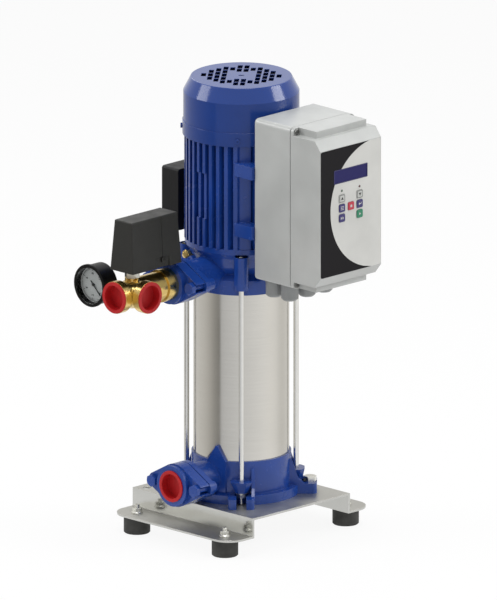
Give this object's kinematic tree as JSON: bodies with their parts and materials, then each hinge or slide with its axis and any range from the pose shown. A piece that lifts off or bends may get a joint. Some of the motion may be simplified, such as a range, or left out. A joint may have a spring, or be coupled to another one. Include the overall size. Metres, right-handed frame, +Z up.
{
  "type": "vertical multistage pump",
  "caption": "Upright inline booster pump with finned motor, speed controller, brass outlet manifold, pressure gauge and switch, on a bent base plate with rubber feet.",
  "frame": {"origin": "on the pump axis, in the floor plane under the rubber feet", "axes": "+Z up along the pump axis, -X to the ports, -Y to the controller panel"},
  "size_m": [0.4248, 0.3608, 0.703],
  "materials": {
    "stainless": "satin",
    "polished_steel": "polished",
    "zinc": "bright zinc",
    "rubber": "matt",
    "blue_paint": "gloss paint",
    "red_plastic": "matt",
    "stage_steel": "pressed",
    "shaft_steel": "machined",
    "carbon": "lapped carbon",
    "brass": "machined",
    "black_plastic": "satin",
    "white_plastic": "printed",
    "clear": "clear",
    "cast_alloy": "cast",
    "copper": "enamelled copper wire",
    "grey_plastic": "light grey moulded",
    "gland_grey": "moulded",
    "board_green": "solder resist",
    "display": "dark blue backlit",
    "key_white": "membrane",
    "key_blue": "membrane",
    "key_red": "membrane",
    "key_green": "membrane"
  },
  "bodies": {
    "frame": {"base_plate": "stainless", "rubber_feet": "rubber", "foot_studs": "zinc", "hex_nuts": "zinc", "foundation_bolts": "zinc", "suction_casing": "blue_paint", "suction_flange": "blue_paint", "discharge_flange": "blue_paint", "flange_bolts": "blue_paint", "port_plugs": "red_plastic", "pump_sleeve": "polished_steel", "gaskets": "rubber", "tie_rods": "zinc", "stage_casings": "stage_steel", "bottom_bush": "carbon", "seal_seat": "carbon", "discharge_head": "blue_paint", "vent_plug": "brass", "check_valve_body": "brass", "outlet_manifold": "brass", "gauge_case": "black_plastic", "gauge_dial": "white_plastic", "gauge_lens": "clear", "gauge_stem": "brass", "switch_base": "black_plastic", "switch_cover": "black_plastic", "switch_nut": "zinc", "motor_housing": "blue_paint", "drive_end_shield": "cast_alloy", "fan_end_shield": "cast_alloy", "motor_bearings": "shaft_steel", "stator_core": "shaft_steel", "stator_windings": "copper", "fan_cover": "blue_paint", "cover_screws": "zinc", "terminal_box": "black_plastic", "terminal_box_cover": "black_plastic", "controller_box": "grey_plastic", "controller_lid": "grey_plastic", "lid_seal": "rubber", "cable_glands": "gland_grey", "circuit_board": "board_green", "controller_screws": "zinc", "display_window": "display"},
    "rotor": {"impellers": "stage_steel", "pump_shaft": "shaft_steel", "seal_head": "shaft_steel", "shaft_coupling": "shaft_steel", "motor_rotor": "cast_alloy", "motor_shaft": "shaft_steel", "cooling_fan": "black_plastic"},
    "poppet": {"check_valve_poppet": "black_plastic"},
    "needle": {"gauge_needle": "black_plastic"},
    "up_key": {"up_key": "key_white"},
    "menu_key": {"menu_key": "key_blue"},
    "shift_key": {"shift_key": "key_blue"},
    "stop_key": {"stop_key": "key_red"},
    "down_key": {"down_key": "key_white"},
    "enter_key": {"enter_key": "key_blue"},
    "start_key": {"start_key": "key_green"}
  },
  "joints": [
    {"name": "rotor_spin", "type": "hinge", "parent": "frame", "child": "rotor", "pos_m": [0, 0, 0.3], "axis": [0, 0, 1], "continuous": true},
    {"name": "check_valve_lift", "type": "slide", "parent": "frame", "child": "poppet", "axis": [-1, 0, 0], "range_m": [0, 0.007], "stiffness_N_per_m": 150, "springref_m": -0.004},
    {"name": "needle_turn", "type": "hinge", "parent": "frame", "child": "needle", "pos_m": [-0.238, 0.075, 0.409], "axis": [1, 0, 0], "range_deg": [0, 270], "stiffness_Nm_per_rad": 0.001},
    {"name": "up_key_press", "type": "slide", "parent": "frame", "child": "up_key", "axis": [0, 1, 0], "range_m": [0, 0.0008], "stiffness_N_per_m": 500, "springref_m": -0.0002},
    {"name": "menu_key_press", "type": "slide", "parent": "frame", "child": "menu_key", "axis": [0, 1, 0], "range_m": [0, 0.0008], "stiffness_N_per_m": 500, "springref_m": -0.0002},
    {"name": "shift_key_press", "type": "slide", "parent": "frame", "child": "shift_key", "axis": [0, 1, 0], "range_m": [0, 0.0008], "stiffness_N_per_m": 500, "springref_m": -0.0002},
    {"name": "stop_key_press", "type": "slide", "parent": "frame", "child": "stop_key", "axis": [0, 1, 0], "range_m": [0, 0.0008], "stiffness_N_per_m": 500, "springref_m": -0.0002},
    {"name": "down_key_press", "type": "slide", "parent": "frame", "child": "down_key", "axis": [0, 1, 0], "range_m": [0, 0.0008], "stiffness_N_per_m": 500, "springref_m": -0.0002},
    {"name": "enter_key_press", "type": "slide", "parent": "frame", "child": "enter_key", "axis": [0, 1, 0], "range_m": [0, 0.0008], "stiffness_N_per_m": 500, "springref_m": -0.0002},
    {"name": "start_key_press", "type": "slide", "parent": "frame", "child": "start_key", "axis": [0, 1, 0], "range_m": [0, 0.0008], "stiffness_N_per_m": 500, "springref_m": -0.0002}
  ]
}
